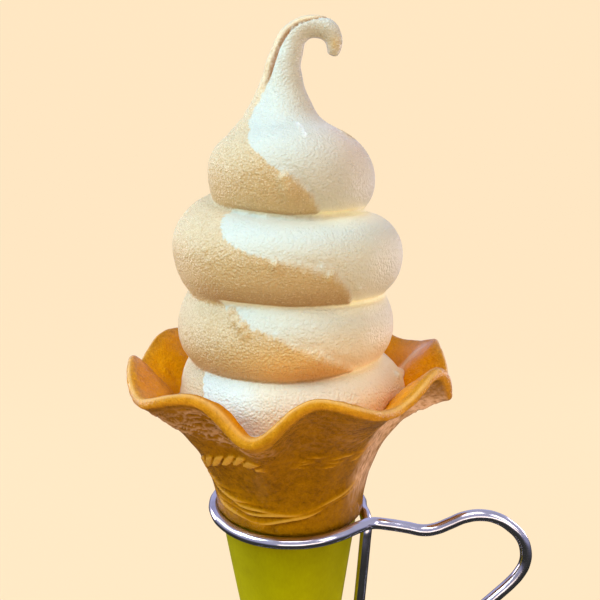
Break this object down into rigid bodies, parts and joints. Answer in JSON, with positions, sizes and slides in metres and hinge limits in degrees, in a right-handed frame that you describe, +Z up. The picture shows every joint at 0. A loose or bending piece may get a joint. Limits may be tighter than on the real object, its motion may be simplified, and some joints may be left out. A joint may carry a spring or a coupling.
{
  "type": "soft serve cone",
  "caption": "Twist of vanilla and caramel soft serve in a flared wafer cone with a paper sleeve, standing upright in a bent wire holder.",
  "frame": {"origin": "on the table, under the centre of the whole part's box", "axes": "+Z up, +X towards the side that the handle is on, +Y away from the side that is shown"},
  "size_m": [0.11, 0.0864, 0.2246],
  "materials": {
    "wafer": "glossy baked wafer, golden brown with paler lip",
    "vanilla": "soft frozen cream with a wet sheen",
    "caramel": "soft frozen cream, grainy, light caramel",
    "paper": "smooth olive green paper",
    "wire": "polished bright wire"
  },
  "bodies": {
    "root": {"wafer_cone": "wafer", "vanilla_strand": "vanilla", "caramel_strand": "caramel", "paper_sleeve": "paper", "hoop": "wire", "leg": "wire", "handle": "wire", "foot_ring": "wire"}
  },
  "joints": []
}
